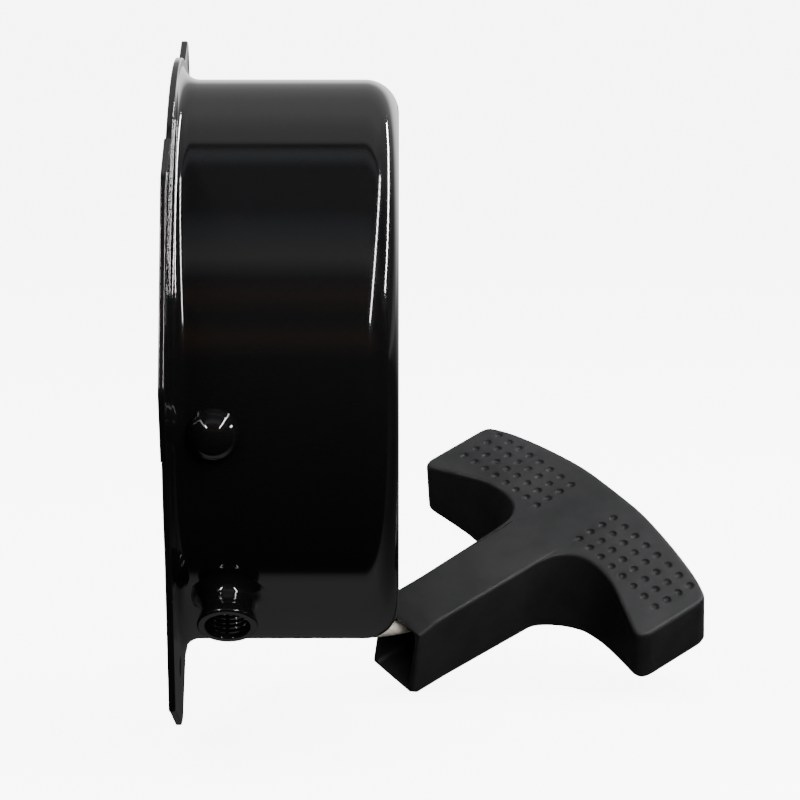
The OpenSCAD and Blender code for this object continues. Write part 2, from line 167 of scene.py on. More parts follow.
def strips(rows, close_rows=False, close_ring=True):
    """Faces of a grid of equal rows of points; returns the flat points and the faces."""
    n = len(rows[0])
    verts = [p for row in rows for p in row]
    faces = []
    last = len(rows) if close_rows else len(rows) - 1
    for i in range(last):
        a, b = i * n, ((i + 1) % len(rows)) * n
        for j in range(n if close_ring else n - 1):
            k = (j + 1) % n
            faces.append((a + j, a + k, b + k, b + j))
    return verts, faces


def radial(angle, radius, x):
    """A point at an angle about X (0 towards -Y, 90 up), in millimetres."""
    a = math.radians(angle)
    return (x, -radius * math.cos(a), radius * math.sin(a))


def arc(cx, cy, r, a0, a1, steps):
    """Points of an arc from angle a0 to a1, in degrees."""
    angles = [math.radians(a0 + (a1 - a0) * i / steps) for i in range(steps + 1)]
    return [(cx + r * math.cos(a), cy + r * math.sin(a)) for a in angles]


def step(t):
    """Smooth step from 0 to 1."""
    t = min(max(t, 0.0), 1.0)
    return t * t * (3 - 2 * t)


def cylinder_points(centre, axis, radius, length, sides, verts, faces):
    """Adds a closed cylinder to a growing list of points and faces."""
    axis = Vector(axis).normalized()
    side = axis.orthogonal().normalized()
    other = axis.cross(side)
    base = len(verts)
    for end in (0, 1):
        for j in range(sides):
            a = TAU * j / sides
            offset = radius * (math.cos(a) * side + math.sin(a) * other)
            verts.append(tuple(Vector(centre) + axis * (length * end) + offset))
    for j in range(sides):
        k = (j + 1) % sides
        faces.append((base + j, base + k, base + sides + k, base + sides + j))
    faces.append(tuple(base + j for j in reversed(range(sides))))
    faces.append(tuple(base + sides + j for j in range(sides)))


# ---------------------------------------------------------------- materials

def new_material(name, colour, metallic=0.0, roughness=0.5, **sockets):
    """A Principled material; a socket's name is written with underscores for its spaces."""
    mat = bpy.data.materials.new(name)
    mat.use_nodes = True
    bsdf = mat.node_tree.nodes["Principled BSDF"]
    bsdf.inputs["Base Color"].default_value = (*colour, 1)
    bsdf.inputs["Metallic"].default_value = metallic
    bsdf.inputs["Roughness"].default_value = roughness
    for socket, value in sockets.items():
        bsdf.inputs[socket.replace("_", " ")].default_value = value
    return mat, mat.node_tree, bsdf


def noise_node(tree, scale, detail=4.0, rough=0.5, stretch=(1, 1, 1)):
    """Noise in the object's own coordinates; scale is in features per metre."""
    coords = tree.nodes.new("ShaderNodeTexCoord")
    mapping = tree.nodes.new("ShaderNodeMapping")
    mapping.inputs["Scale"].default_value = stretch
    node = tree.nodes.new("ShaderNodeTexNoise")
    node.inputs["Scale"].default_value = scale
    node.inputs["Detail"].default_value = detail
    node.inputs["Roughness"].default_value = rough
    tree.links.new(coords.outputs["Object"], mapping.inputs["Vector"])
    tree.links.new(mapping.outputs["Vector"], node.inputs["Vector"])
    return node.outputs["Fac"]


def remap(tree, value, low, high, from_low=0.3, from_high=0.7):
    """Maps a value from one range to another, clamped."""
    node = tree.nodes.new("ShaderNodeMapRange")
    node.inputs["From Min"].default_value = from_low
    node.inputs["From Max"].default_value = from_high
    node.inputs["To Min"].default_value = low
    node.inputs["To Max"].default_value = high
    tree.links.new(value, node.inputs["Value"])
    return node.outputs["Result"]


def add_bump(tree, bsdf, height, strength, distance):
    """Bump of a height field; distance is in metres. Bumps chain on the one already there."""
    node = tree.nodes.new("ShaderNodeBump")
    node.inputs["Strength"].default_value = strength
    node.inputs["Distance"].default_value = distance
    tree.links.new(height, node.inputs["Height"])
    if bsdf.inputs["Normal"].is_linked:
        tree.links.new(bsdf.inputs["Normal"].links[0].from_socket, node.inputs["Normal"])
    tree.links.new(node.outputs["Normal"], bsdf.inputs["Normal"])


def math_node(tree, operation, *values):
    """One math step on sockets or plain numbers."""
    node = tree.nodes.new("ShaderNodeMath")
    node.operation = operation
    for socket, value in zip(node.inputs, values):
        if isinstance(value, (int, float)):
            socket.default_value = value
        else:
            tree.links.new(value, socket)
    return node.outputs["Value"]


def mix_colours(tree, factor, low, high):
    """Goes from one colour to another with a factor."""
    node = tree.nodes.new("ShaderNodeMix")
    node.data_type = "RGBA"
    node.inputs["A"].default_value = (*low, 1)
    node.inputs["B"].default_value = (*high, 1)
    tree.links.new(factor, node.inputs["Factor"])
    return node.outputs["Result"]


def enamel():
    """Gloss black baked enamel on pressed steel: orange peel, faint polish haze and dust specks."""
    mat, tree, bsdf = new_material("black_enamel", (0.005, 0.005, 0.0052), roughness=0.07,
                                   Coat_Weight=1.0, Coat_Roughness=0.025)
    haze = noise_node(tree, 22, 5, 0.6)
    tree.links.new(remap(tree, haze, 0.05, 0.13), bsdf.inputs["Roughness"])
    speck = noise_node(tree, 1500, 2, 0.5)
    dust = remap(tree, speck, 0, 1, 0.74, 0.8)
    tree.links.new(mix_colours(tree, dust, (0.005, 0.005, 0.0052), (0.02, 0.019, 0.018)),
                   bsdf.inputs["Base Color"])
    add_bump(tree, bsdf, noise_node(tree, 330, 2, 0.4), 0.10, 0.00003)
    add_bump(tree, bsdf, noise_node(tree, 45, 2, 0.4), 0.05, 0.00012)
    return mat


def grip_plastic():
    """Matte black moulded plastic with a fine spark-eroded grain."""
    mat, tree, bsdf = new_material("grip_plastic", (0.02, 0.02, 0.021), roughness=0.5,
                                   Specular_IOR_Level=0.42)
    cloud = noise_node(tree, 60, 4, 0.55)
    tree.links.new(mix_colours(tree, remap(tree, cloud, 0, 1), (0.014, 0.0145, 0.015),
                               (0.023, 0.023, 0.024)), bsdf.inputs["Base Color"])
    tree.links.new(remap(tree, noise_node(tree, 130, 3), 0.42, 0.58), bsdf.inputs["Roughness"])
    add_bump(tree, bsdf, noise_node(tree, 2600, 3, 0.6), 0.35, 0.00006)
    add_bump(tree, bsdf, noise_node(tree, 90, 2, 0.5), 0.12, 0.0003)
    return mat


def moulded(name, dark, light, roughness, grain=900):
    """Engineering plastic: slow flow marks, fine grain, small changes of gloss."""
    mat, tree, bsdf = new_material(name, dark, roughness=roughness)
    flow = noise_node(tree, 35, 3, 0.5, (1, 3, 1))
    tree.links.new(mix_colours(tree, remap(tree, flow, 0, 1), dark, light), bsdf.inputs["Base Color"])
    gloss = remap(tree, noise_node(tree, 80), roughness - 0.07, roughness + 0.07)
    tree.links.new(gloss, bsdf.inputs["Roughness"])
    add_bump(tree, bsdf, noise_node(tree, grain, 3, 0.6), 0.25, 0.00005)
    return mat


def metal(name, dark, light, roughness, stretch=(1, 1, 1), scale=220, bump=0.15):
    """Plated or bare steel: uneven tint, rubbed gloss and fine tool marks along one way."""
    mat, tree, bsdf = new_material(name, light, metallic=1.0, roughness=roughness)
    tint = noise_node(tree, 90, 5, 0.6)
    tree.links.new(mix_colours(tree, remap(tree, tint, 0, 1), dark, light), bsdf.inputs["Base Color"])
    rub = noise_node(tree, 160, 4, 0.6)
    tree.links.new(remap(tree, rub, roughness - 0.08, roughness + 0.1), bsdf.inputs["Roughness"])
    add_bump(tree, bsdf, noise_node(tree, scale, 3, 0.6, stretch), bump, 0.00004)
    return mat


def rope_fibre():
    """Cream braided polyester: soft sheen, slightly dirty in random patches."""
    mat, tree, bsdf = new_material("rope", (0.8, 0.74, 0.62), roughness=0.85, Sheen_Weight=0.35,
                                   Sheen_Roughness=0.5)
    soil = noise_node(tree, 300, 5, 0.6)
    tree.links.new(mix_colours(tree, remap(tree, soil, 0, 1), (0.66, 0.58, 0.46), (0.86, 0.82, 0.72)),
                   bsdf.inputs["Base Color"])
    add_bump(tree, bsdf, noise_node(tree, 5200, 3, 0.7), 0.5, 0.00008)
    return mat


ENAMEL = enamel()
GRIP = grip_plastic()
REEL_PLASTIC = moulded("reel_plastic", (0.018, 0.018, 0.02), (0.032, 0.032, 0.034), 0.42)
GUIDE_PLASTIC = moulded("guide_plastic", (0.5, 0.46, 0.37), (0.66, 0.62, 0.52), 0.4)
ZINC = metal("zinc_steel", (0.5, 0.5, 0.47), (0.68, 0.69, 0.7), 0.3)
SPRING_STEEL = metal("spring_steel", (0.16, 0.18, 0.23), (0.32, 0.34, 0.38), 0.28, (8, 1, 1), 300)
PAWL_STEEL = metal("pawl_steel", (0.26, 0.25, 0.24), (0.42, 0.42, 0.41), 0.38, (1, 1, 1), 700, 0.3)
BRONZE = metal("bush_bronze", (0.45, 0.3, 0.13), (0.62, 0.45, 0.22), 0.33)
LINER = metal("liner", (0.6, 0.6, 0.59), (0.78, 0.78, 0.77), 0.18)
ROPE = rope_fibre()


# ---------------------------------------------------------------- housing shell

def convex_hull_2d(points):
    """Corners of the convex hull, in order."""
    points = sorted(set(points))

    def half(pts):
        out = []
        for p in pts:
            while len(out) > 1 and ((out[-1][0] - out[-2][0]) * (p[1] - out[-2][1])
                                    - (out[-1][1] - out[-2][1]) * (p[0] - out[-2][0])) <= 0:
                out.pop()
            out.append(p)
        return out[:-1]
    return half(points) + half(points[::-1])


def turned_2d(points, angle):
    """The points turned about the origin."""
    a = math.radians(angle)
    return [(p[0] * math.cos(a) - p[1] * math.sin(a), p[0] * math.sin(a) + p[1] * math.cos(a))
            for p in points]


def polar_2d(radius, angle):
    """A point at a radius and an angle."""
    a = math.radians(angle)
    return (radius * math.cos(a), radius * math.sin(a))


def lug_outlines():
    """The four lugs as closed outlines about the axis: x towards -Y, y up."""
    round_r, edge, half = 6.0, 99.0, 34.0
    broad = convex_hull_2d(arc(edge - round_r, half - round_r, round_r, -90, 180, 40)
                           + arc(edge - round_r, round_r - half, round_r, -180, 90, 40)
                           + [(CUP_R, 46), (CUP_R, -46)])
    ear = convex_hull_2d(arc(BOLT_CIRCLE_R, 0, 2 * BOLT_HOLE_R, 0, 360, 60)
                         + [(CUP_R, 22), (CUP_R, -22)])
    long_r = 110.0
    long_lug = [polar_2d(FLANGE_R - 2, -13), polar_2d(long_r + 1.6, -58.5), polar_2d(long_r, -61),
                polar_2d(long_r - 2, -78), polar_2d(long_r - 3.5, -81), polar_2d(FLANGE_R - 2, -91),
                polar_2d(CUP_R - 10, -70)]
    return [turned_2d(broad, 17), turned_2d(broad, 197), turned_2d(ear, BOLT_ANGLE + 90), long_lug]


def outline_radius(angle, outlines):
    """How far the flange reaches along one direction from the axis."""
    dx, dy = polar_2d(1, angle)
    best = FLANGE_R
    for outline in outlines:
        for (ax, ay), (bx, by) in zip(outline, outline[1:] + outline[:1]):
            ex, ey = bx - ax, by - ay
            det = dx * ey - dy * ex
            if abs(det) < 1e-9:
                continue
            reach = (ax * ey - ay * ex) / det
            along = (ax * dy - ay * dx) / det
            if reach > best and -1e-9 <= along <= 1 + 1e-9:
                best = reach
    return best


def housing_mesh():
    """The pressing as one closed sheet: flange, fillet, wall, corner and dished closed end."""
    sides = 720
    angles = [360 * j / sides for j in range(sides)]
    outlines = lug_outlines()
    rim = [outline_radius(a, outlines) for a in angles]
    rim_inset = 0.9
    fillet_out = CUP_R + FILLET_R
    dish_edge = DISH_R + DISH_SLOPE + 1
    flat_out, flat_in = CUP_R - CORNER_R, dish_edge + 0.2
    rows = []

    def ring(radius, x):
        rows.append([radial(a, radius, x) for a in angles])

    def flange_ring(inset, x):
        rows.append([radial(a, r - inset, x) for a, r in zip(angles, rim)])

    def flange_span(share, x):
        rows.append([radial(a, fillet_out + (r - rim_inset - fillet_out) * share, x)
                     for a, r in zip(angles, rim)])

    # The flange's rounded edge, from its seat to its top, then the top in to the fillet
    for inset, x in ((0.35, 0.0), (0.08, 0.12), (0.0, 0.4), (0.0, 1.35), (0.1, 1.7), (0.35, 1.93),
                     (0.75, FLANGE_T)):
        flange_ring(inset, x)
    for share in (1, 0.75, 0.5, 0.25):
        flange_span(share, FLANGE_T)
    for r, x in arc(fillet_out, FLANGE_T + FILLET_R, FILLET_R, 270, 180, 14):
        ring(r, x)
    wall_0, wall_1 = FLANGE_T + FILLET_R, CUP_DEPTH - CORNER_R
    for i in range(1, 16):
        ring(CUP_R, wall_0 + (wall_1 - wall_0) * i / 16)
    for r, x in arc(CUP_R - CORNER_R, CUP_DEPTH - CORNER_R, CORNER_R, 0, 90, 20):
        ring(r, x)
    for i in range(1, 8):
        ring(flat_out - (flat_out - flat_in) * i / 7, CUP_DEPTH)
    dish = []
    for i in range(13):
        t = i / 12
        dish.append((dish_edge - (DISH_SLOPE + 2) * t, DISH_DEPTH * step(t)))
    for r, drop in dish:
        ring(r, CUP_DEPTH - drop)
    ring(POST_HOLE_R, CUP_DEPTH - DISH_DEPTH)
    ring(POST_HOLE_R, CUP_DEPTH - DISH_DEPTH - SHEET)
    for r, drop in reversed(dish):
        ring(r, CUP_DEPTH - drop - SHEET)
    for r, x in arc(CUP_R - CORNER_R, CUP_DEPTH - CORNER_R, CORNER_R - SHEET, 90, 0, 16):
        ring(r, x)
    for i in range(1, 12):
        ring(CUP_R - SHEET, wall_1 - (wall_1 - wall_0) * i / 12)
    for i in range(13):
        a = math.radians(180 + 90 * i / 12)
        ring(fillet_out + (FILLET_R + SHEET) * math.cos(a), (FLANGE_T + FILLET_R) * (1 + math.sin(a)))
    for share in (0.25, 0.5, 0.75, 1):
        flange_span(share, 0.0)
    return strips(rows, close_rows=True)


def slot_cutter_points(verts, faces):
    """Ten vent slots with round ends, through the closed end."""
    count, inner, outer, half, ends, past = 10, 54.5, 63.5, 4.5, 14, 5
    for i in range(count):
        turn = 360 / count * (i + 0.5)
        shape = (arc(outer, 0, half, -90, 90, ends) + arc(inner, 0, half, 90, 270, ends))
        shape = turned_2d(shape, turn + 180)
        base, n = len(verts), len(shape)
        for x in (CUP_DEPTH - past, CUP_DEPTH + past):
            verts.extend((x, -p[0], -p[1]) for p in shape)
        for j in range(n):
            k = (j + 1) % n
            faces.append((base + j, base + k, base + n + k, base + n + j))
        faces.append(tuple(base + j for j in reversed(range(n))))
        faces.append(tuple(base + n + j for j in range(n)))


def build_housing():
    """The pressing with its vents, bolt holes, rope outlet and the side tube's hole cut out."""
    verts, faces = housing_mesh()
    shell = mesh_object("shell", verts, faces, ENAMEL, 50)
    tool_v, tool_f = [], []
    sides, past = 48, 5
    slot_cutter_points(tool_v, tool_f)
    for i in range(4):
        cylinder_points(radial(BOLT_ANGLE + 90 * i, BOLT_CIRCLE_R, -past), (1, 0, 0), BOLT_HOLE_R,
                        FLANGE_T + 2 * past, sides, tool_v, tool_f)
    out = Vector(radial(SPOUT_ANGLE, 1, 0))
    inside, length = 60, 40
    cylinder_points(Vector((SPOUT_X, 0, 0)) + out * inside, out, SPOUT_BORE_R, length, sides,
                    tool_v, tool_f)
    outlet = outlet_place()
    below, length = -90, 45
    cylinder_points((outlet[0], outlet[1], below), (0, 0, 1), OUTLET_HOLE_R, length, sides,
                    tool_v, tool_f)
    tool = mesh_object("holes", tool_v, tool_f, ENAMEL)
    cut(shell, tool, 50)
    bevel(shell, 0.22, 2, 50)
    apply_modifiers(shell, 60)
    place(shell, "housing", "housing_shell")


# ---------------------------------------------------------------- fittings on the wall

def outlet_place():
    """Middle of the rope outlet across Y and X, from the CAD tube."""
    low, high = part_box("rope_spout")
    return ((low[0] + high[0]) / 2 / MM, (low[1] + high[1]) / 2 / MM)


def wall_patch(angle, x, profile, sides, name, node):
    """A turned fitting whose foot follows the round wall.

    profile holds (radius, height, share): share 1 measures height from the wall under each
    point and share 0 from the wall's line under the fitting's own axis."""
    out = Vector(radial(angle, 1, 0))
    along = Vector((1, 0, 0))
    across = out.cross(along)
    rows = []
    for radius, height, share in profile:
        row = []
        for j in range(sides):
            a = TAU * j / sides
            u, v = radius * math.cos(a), radius * math.sin(a)
            wall = math.sqrt(CUP_R ** 2 - v * v)
            reach = height + CUP_R + (wall - CUP_R) * share
            row.append(tuple(along * (x + u) + across * v + out * reach))
        rows.append(row)
    verts, faces = strips(rows)
    obj = mesh_object(name, verts, faces, ENAMEL, 60)
    place(obj, "housing", node)


def build_side_spout():
    """Waisted tube, flowing into the wall, with a thick rolled lip and a ringed bore."""
    top = SPOUT_END_R - CUP_R
    foot_r, flare_r = 11.2, 3.4
    profile = [(foot_r + 0.4, -0.25, 1), (foot_r, 0.0, 1)]
    for i in range(13):
        t = i / 12
        a = math.radians(270 - 90 * t)
        profile.append((foot_r + flare_r * math.cos(a), flare_r + flare_r * math.sin(a), 1 - step(t)))
    profile += [(7.75, 4.4, 0), (7.7, 5.2, 0), (7.72, 5.9, 0), (7.95, 6.6, 0), (8.3, 7.1, 0)]
    profile += [(r, h, 0) for r, h in arc(8.1, top - 0.6, 0.6, -20, 90, 7)]
    profile += [(7.6, top + 0.02, 0), (7.1, top, 0)]
    profile += [(r, h, 0) for r, h in arc(6.8, top - 0.4, 0.4, 90, 180, 5)]
    rings, per_ring, ring_height, depth = 9, 6, 0.10, top + 3.6
    for i in range(1, rings * per_ring):
        t = i / (rings * per_ring)
        bore = SPOUT_BORE_R + ring_height * math.cos(TAU * rings * t) - 0.02
        profile.append((bore, top - 0.7 - depth * t, 0))
    wall_patch(SPOUT_ANGLE, SPOUT_X, profile, 96, "side_tube", "side_spout")


def build_dome():
    """Domed rivet head, slightly proud of the wall, with its upset head inside."""
    head_r, head_height, steps = 7.45, 6.0, 24
    profile = [(0.01, 5.95, 0)]
    for i in range(1, steps + 1):
        a = math.radians(90 - 84 * i / steps)
        profile.append((head_r * math.cos(a), head_height * math.sin(a) - 0.02, 0.25 * step(i / steps)))
    profile += [(7.55, 0.35, 0.8), (7.6, 0.0, 1), (7.3, -0.15, 1), (3.0, -0.15, 1), (3.0, -2.2, 0),
                (4.8, -2.25, 0), (5.0, -2.6, 0), (4.6, -3.4, 0), (3.0, -3.75, 0), (0.01, -3.8, 0)]
    wall_patch(DOME_ANGLE, DOME_X, profile, 96, "dome_head", "dome_rivet")


# ---------------------------------------------------------------- handle

HANDLE_MOUTH = Vector((64.5, 62.0, -96.7))
HANDLE_TURN = (Matrix.Rotation(math.radians(32.2), 3, "Z")
               @ Matrix.Rotation(math.radians(-23.0), 3, "Y")
               @ Matrix.Rotation(math.radians(27.9), 3, "X"))
STEM_HALF = 9.9
EDGE_R = 1.2
MOUTH_LEAN = 2.2
MOUTH_TAPER = 1.7
BAND_END = 9.5
TIP_STEP = 1.4
FACE_BOW = 0.0016
BACK_BOW = 0.0009
DIMPLE_V0, DIMPLE_ROW = 66.8, 4.8
DIMPLE_U0, DIMPLE_PITCH = 10.4, 5.2
# From the stem to a tip: across, arch in front, arch behind, crown
WING = [(10.4, 48, 44, 90.2), (11, 54, 46, 90.2), (12.6, 58, 48.5, 90.1), (15.5, 61, 51.5, 89.9),
        (19.5, 62.6, 54.4, 89.5), (24, 63, 56.4, 88.9), (29, 62.6, 57, 88.2), (34, 61.2, 57, 87.4),
        (39.5, 59, 56.4, 86.4), (45, 56.9, 55.6, 85.2), (50, 55, 54.8, 83.6),
        (52.6, 55.4, 55.6, 82.2), (54, 57.6, 58, 79.5)]


def handle_point(v, u, w):
    """A point in the handle's frame (up the stem, across, out of its face), in the row frame."""
    return tuple(HANDLE_MOUTH + HANDLE_TURN @ Vector((v, u, w)))


def spline_rows(rows, parts):
    """Rows of numbers, with Catmull-Rom rows put in between."""
    padded = [rows[0]] + rows + [rows[-1]]
    out = []
    for p0, p1, p2, p3 in zip(padded, padded[1:], padded[2:], padded[3:]):
        for k in range(parts):
            t = k / parts
            out.append(tuple(0.5 * (2 * b + (c - a) * t + (2 * a - 5 * b + 4 * c - d) * t * t
                                    + (3 * b - a - 3 * c + d) * t ** 3)
                             for a, b, c, d in zip(p0, p1, p2, p3)))
    return out + [rows[-1]]


def line(start, end, steps):
    """Points along a straight line, both ends in."""
    return [tuple(a + (b - a) * i / steps for a, b in zip(start, end)) for i in range(steps + 1)]


def handle_section(u, front, behind, crown, inset=0.0, stem_drop=None, setback=0.0):
    """The handle's section at one distance across, as (v, w) points; stem_drop marks the stem."""
    steps, r = 4, EDGE_R
    top = HANDLE_T / 2 - FACE_BOW * u * u - inset
    low = -HANDLE_T / 2 + BACK_BOW * u * u + inset
    crown -= inset
    if stem_drop is None:
        front, behind = front + inset, behind + inset
        mouth_low = arc(behind + r, low + r, r, 180, 270, steps)
        neck_low = [(behind + r + 0.6, low), (behind + r + 1.2, low)]
        neck_top = [(front + r + 1.2, top), (front + r + 0.6, top)]
        mouth_top = arc(front + r, top - r, r, 90, 180, steps)
    else:
        drop_top, drop_low = top - stem_drop, low + stem_drop
        mouth_low = line((setback - MOUTH_LEAN, drop_low + MOUTH_TAPER), (setback, drop_low), steps)
        neck_low = [(WING[0][2], drop_low), (WING[0][2] + 5, low)]
        neck_top = [(WING[0][1] + 9, top), (WING[0][1] + 4, drop_top)]
        mouth_top = line((BAND_END, drop_top), (setback + MOUTH_LEAN, drop_top - MOUTH_TAPER), steps)
    return (mouth_low + neck_low + arc(crown - r, low + r, r, 270, 360, steps)
            + arc(crown - r, top - r, r, 0, 90, steps)
            + line((crown - r, top), neck_top[0], 14)[1:-1] + neck_top + mouth_top)


def handle_sections():
    """Sections from the middle to one tip, as (u, points)."""
    crown = WING[0][3]
    out = [(u, handle_section(u, 0, 0, crown, stem_drop=0.0)) for u in (0.0, 3.0, 6.0)]
    side_steps, tip_steps = 4, 5
    for i in range(side_steps + 1):
        a = math.pi / 2 * i / side_steps
        u = STEM_HALF - EDGE_R * (1 - math.sin(a))
        drop = EDGE_R * (1 - math.cos(a))
        out.append((u, handle_section(u, 0, 0, crown, stem_drop=drop, setback=drop)))
    rows = spline_rows(WING, 4)
    out += [(u, handle_section(u, f, b, c)) for u, f, b, c in rows if u < HANDLE_W / 2 - EDGE_R]
    _, front, behind, crown = rows[-1]
    _, f0, b0, c0 = WING[-2]
    for i in range(tip_steps + 1):
        a = math.pi / 2 * i / tip_steps
        u = HANDLE_W / 2 - EDGE_R * (1 - math.sin(a))
        t = 1 - (HANDLE_W / 2 - u) / TIP_STEP
        out.append((u, handle_section(u, f0 + (front - f0) * t, b0 + (behind - b0) * t,
                                      c0 + (crown - c0) * t, inset=EDGE_R * (1 - math.cos(a)))))
    return out


def box_points(low, high, verts, faces, round_r=0.0):
    """Adds a box along the handle's axes, its long edges rounded, to points in the handle's frame."""
    steps = 5
    (v0, u0, w0), (v1, u1, w1) = low, high
    section = []
    for cu, cw, a0 in ((u1 - round_r, w1 - round_r, 0), (u0 + round_r, w1 - round_r, 90),
                       (u0 + round_r, w0 + round_r, 180), (u1 - round_r, w0 + round_r, 270)):
        section += arc(cu, cw, round_r, a0, a0 + 90, steps)
    base, n = len(verts), len(section)
    for v in (v0, v1):
        verts.extend(handle_point(v, u, w) for u, w in section)
    for j in range(n):
        k = (j + 1) % n
        faces.append((base + j, base + k, base + n + k, base + n + j))
    faces.append(tuple(base + j for j in reversed(range(n))))
    faces.append(tuple(base + n + j for j in range(n)))


def dimple_points(verts, faces):
    """Two patches of four rows of eight round pits, as one set of ball cutters."""
    radius, depth, rings, sides = 1.5, 0.95, 6, 18
    for side in (-1, 1):
        for row in range(4):
            for col in range(8):
                v = DIMPLE_V0 + row * DIMPLE_ROW
                u = side * (DIMPLE_U0 + col * DIMPLE_PITCH)
                w = HANDLE_T / 2 - FACE_BOW * u * u + radius - depth
                base = len(verts)
                for i in range(1, rings):
                    a = math.pi * i / rings
                    for j in range(sides):
                        b = TAU * j / sides
                        verts.append(handle_point(v + radius * math.sin(a) * math.cos(b),
                                                  u + radius * math.sin(a) * math.sin(b),
                                                  w + radius * math.cos(a)))
                bottom = len(verts)
                verts.append(handle_point(v, u, w + radius))
                verts.append(handle_point(v, u, w - radius))
                for i in range(rings - 2):
                    for j in range(sides):
                        k = (j + 1) % sides
                        faces.append((base + i * sides + j, base + i * sides + k,
                                      base + (i + 1) * sides + k, base + (i + 1) * sides + j))
                last = base + (rings - 2) * sides
                for j in range(sides):
                    k = (j + 1) % sides
                    faces.append((bottom, base + k, base + j))
                    faces.append((bottom + 1, last + j, last + k))


def build_handle():
    """Moulded T: bowed face, rounded edges, open neck, knot pocket behind, two dimple patches."""
    half = handle_sections()
    sections = [(-u, points) for u, points in reversed(half[1:])] + half
    rows = [[handle_point(v, u, w) for v, w in points] for u, points in sections]
    verts, faces = strips(rows)
    n = len(rows[0])
    faces.append(tuple(range(n)))
    faces.append(tuple(len(verts) - n + j for j in reversed(range(n))))
    grip = mesh_object("t_handle", verts, faces, GRIP, 40)
    neck, neck_round = ((-5, -8, -10.5), (27, 8, 10.5)), 2.5
    pocket, pocket_round = ((31, -8.5, -20), (52, 8.5, 6)), 0.8
    rope_hole_r, hole_start, hole_length, sides = 2.8, 20, 20, 32
    tool_v, tool_f = [], []
    box_points(*neck, tool_v, tool_f, neck_round)
    cylinder_points(handle_point(hole_start, 0, 0), HANDLE_TURN @ Vector((1, 0, 0)), rope_hole_r,
                    hole_length, sides, tool_v, tool_f)
    box_points(*pocket, tool_v, tool_f, pocket_round)
    cut(grip, mesh_object("hollows", tool_v, tool_f, GRIP), 40)
    tool_v, tool_f = [], []
    dimple_points(tool_v, tool_f)
    cut(grip, mesh_object("pits", tool_v, tool_f, GRIP), 40)
    bevel(grip, 0.25, 2, 42)
    apply_modifiers(grip, 45)
    place(grip, "handle", "handle_grip")


def build_cap():
    """Snap-in cover of the knot pocket, with a thumb recess."""
    cover, recess = ((31.1, -8.4, -12.9), (51.9, 8.4, -10.9)), ((35, -4, -14), (37.5, 4, -12.2))
    verts, faces = [], []
    box_points(*cover, verts, faces, 0.4)
    cap = mesh_object("knot_cover", verts, faces, GRIP)
    tool_v, tool_f = [], []
    box_points(*recess, tool_v, tool_f, 0.3)
    cut(cap, mesh_object("recess", tool_v, tool_f, GRIP))
    bevel(cap, 0.3, 2, 40)
    apply_modifiers(cap)
    place(cap, "handle", "handle_cap")


# ---------------------------------------------------------------- rope

def smooth_path(points, spacing):
    """A Catmull-Rom curve through the points, resampled at even steps."""
    pts = [Vector(p) for p in points]
    pts = [2 * pts[0] - pts[1]] + pts + [2 * pts[-1] - pts[-2]]
    fine = []
    for i in range(1, len(pts) - 2):
        p0, p1, p2, p3 = pts[i - 1:i + 3]
        for k in range(24):
            t = k / 24
            fine.append(0.5 * ((2 * p1) + (p2 - p0) * t + (2 * p0 - 5 * p1 + 4 * p2 - p3) * t * t
                               + (3 * p1 - p0 - 3 * p2 + p3) * t ** 3))
    fine.append(pts[-2])
    return resample(fine, spacing)


def resample(points, spacing):
    """The same path with its points at even steps of about the spacing."""
    total = sum((b - a).length for a, b in zip(points, points[1:]))
    count = max(2, round(total / spacing))
    gap = total / count
    out, walked, target = [points[0].copy()], 0.0, gap
    for a, b in zip(points, points[1:]):
        length = (b - a).length
        while walked + length >= target - 1e-9 and len(out) <= count:
            out.append(a.lerp(b, (target - walked) / length))
            target += gap
        walked += length
    return out


def braid_height(around, along, strands=8):
    """Height of a braid's surface, 0 to 1: two sets of strands crossing over and under."""
    a = (around * strands + along) % 2
    b = (around * strands - along) % 2
    bump_a = math.sin(math.pi * (a % 1))
    bump_b = math.sin(math.pi * (b % 1))
    over = (int(a) + int(b)) % 2
    return max(bump_a, 0.55 * bump_b) if over else max(bump_b, 0.55 * bump_a)


def braided_tube(name, path, radius, sides, pitch=2.3, depth=0.28):
    """Round rope along a path, its braid modelled in the surface, with rounded closed ends."""
    frames = []
    normal = (path[1] - path[0]).orthogonal().normalized()
    walked = 0.0
    for i, p in enumerate(path):
        way = (path[min(i + 1, len(path) - 1)] - path[max(i - 1, 0)]).normalized()
        normal = (normal - way * normal.dot(way)).normalized()
        if i:
            walked += (p - path[i - 1]).length
        frames.append((p, normal.copy(), way.cross(normal), walked))
    rows = []
    for i, (p, side, other, s) in enumerate(frames):
        end = min(i, len(frames) - 1 - i)
        close = (0.55, 0.85)[end] if end < 2 else 1.0
        row = []
        for j in range(sides):
            t = j / sides
            r = close * (radius - depth + depth * braid_height(t, s / pitch))
            row.append(tuple(p + r * (math.cos(TAU * t) * side + math.sin(TAU * t) * other)))
        rows.append(row)
    verts, faces = strips(rows)
    faces.append(tuple(range(sides)))
    faces.append(tuple(len(verts) - sides + j for j in reversed(range(sides))))
    return mesh_object(name, verts, faces, ROPE, 180)


LEAD_ROUTE = [(45, 51.1, -77), (45, 51.1, -80.5), (45.7, 51.2, -84), (47.8, 51.7, -87),
              (51.5, 53, -89.2), (56.2, 55.4, -90.2), (61.3, 58.4, -90.2), (67.4, 62.3, -89.8),
              (73.6, 66.6, -89.3), (79.7, 71.4, -88.1), (85.6, 75.5, -85.9), (90.4, 78.6, -83.6)]
GROOVE_X = 45.0
WRAP_R0 = 42.3
WRAP_PITCH = 4.4
KNOT_ANGLE = -20.0


